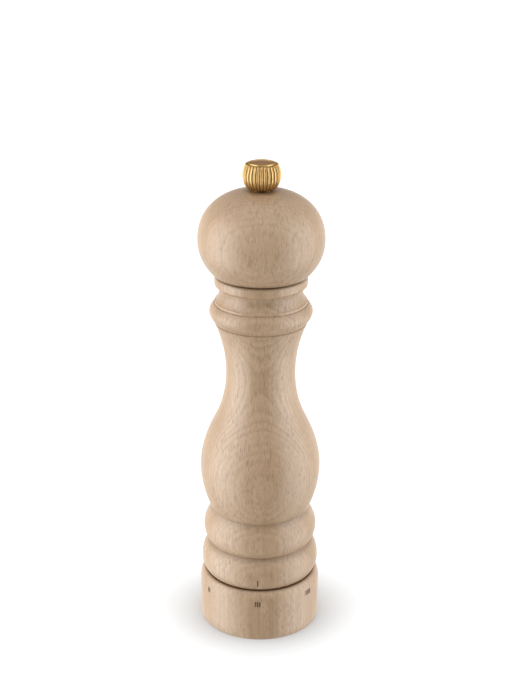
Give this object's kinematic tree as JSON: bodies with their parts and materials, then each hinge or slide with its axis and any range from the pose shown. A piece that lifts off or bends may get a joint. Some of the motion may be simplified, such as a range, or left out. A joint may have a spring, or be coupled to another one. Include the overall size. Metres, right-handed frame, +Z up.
{
  "type": "pepper mill",
  "caption": "Turned beech pepper mill: the head drives a burr on a square shaft, a ring at the foot sets the grind, and a fluted brass knob holds the head.",
  "frame": {"origin": "middle of the face that the mill stands on, at the underside of the adjusting ring", "axes": "+Z up along the mill's axis, -Y towards the front, where the index mark is"},
  "size_m": [0.056, 0.056, 0.22],
  "materials": {
    "beech": "turned and fine-sanded natural beech, matt",
    "brass": "polished, fluted",
    "steel": "drawn or stamped, satin",
    "dark_steel": "blackened spring steel and screws",
    "burr_steel": "machined and case-hardened",
    "nylon": "natural nylon",
    "black_plastic": "moulded acetal, matt"
  },
  "bodies": {
    "root": {"mill_body": "beech", "mechanism_housing": "steel", "housing_screws": "dark_steel", "bridge": "steel", "shaft_bush": "nylon", "click_spring": "steel", "click_rivets": "dark_steel", "slide_washer": "nylon", "snap_ring": "dark_steel"},
    "selector": {"adjusting_ring": "beech", "selector_sleeve": "black_plastic"},
    "carrier": {"burr_carrier": "black_plastic", "female_burr": "burr_steel", "burr_retaining_ring": "dark_steel"},
    "spindle": {"drive_shaft": "steel", "shaft_clip": "dark_steel", "thrust_washer": "nylon", "shaft_spring": "steel", "spring_washer": "steel", "male_burr": "burr_steel", "burr_washer": "steel", "burr_nut": "steel"},
    "head": {"head": "beech", "drive_plate": "steel", "plate_screws": "dark_steel"},
    "washer": {"knob_washer": "brass"},
    "knob": {"top_knob": "brass"}
  },
  "joints": [
    {"name": "grind_select", "type": "hinge", "parent": "root", "child": "selector", "pos_m": [0, 0, 0.012], "axis": [0, 0, 1], "range_deg": [-168.2, 112.2], "deforming": ["click_spring"]},
    {"name": "burr_rise", "type": "slide", "parent": "root", "child": "carrier", "axis": [0, 0, 1], "range_m": [-0.00056, 0.00084]},
    {"name": "head_turn", "type": "hinge", "parent": "root", "child": "spindle", "pos_m": [0, 0, 0.1], "axis": [0, 0, 1], "continuous": true},
    {"name": "head_lift", "type": "slide", "parent": "spindle", "child": "head", "axis": [0, 0, 1], "range_m": [0, 0.058]},
    {"name": "knob_rise", "type": "slide", "parent": "head", "child": "washer", "axis": [0, 0, 1], "range_m": [0, 0.004]},
    {"name": "knob_turn", "type": "hinge", "parent": "washer", "child": "knob", "pos_m": [0, 0, 0.214], "axis": [0, 0, 1], "range_deg": [0, 1801]}
  ],
  "couplings": [
    {"joint": "grind_select", "follows": "burr_rise", "rad_per_m": -3490.7},
    {"joint": "knob_turn", "follows": "knob_rise", "rad_per_m": 7854}
  ]
}
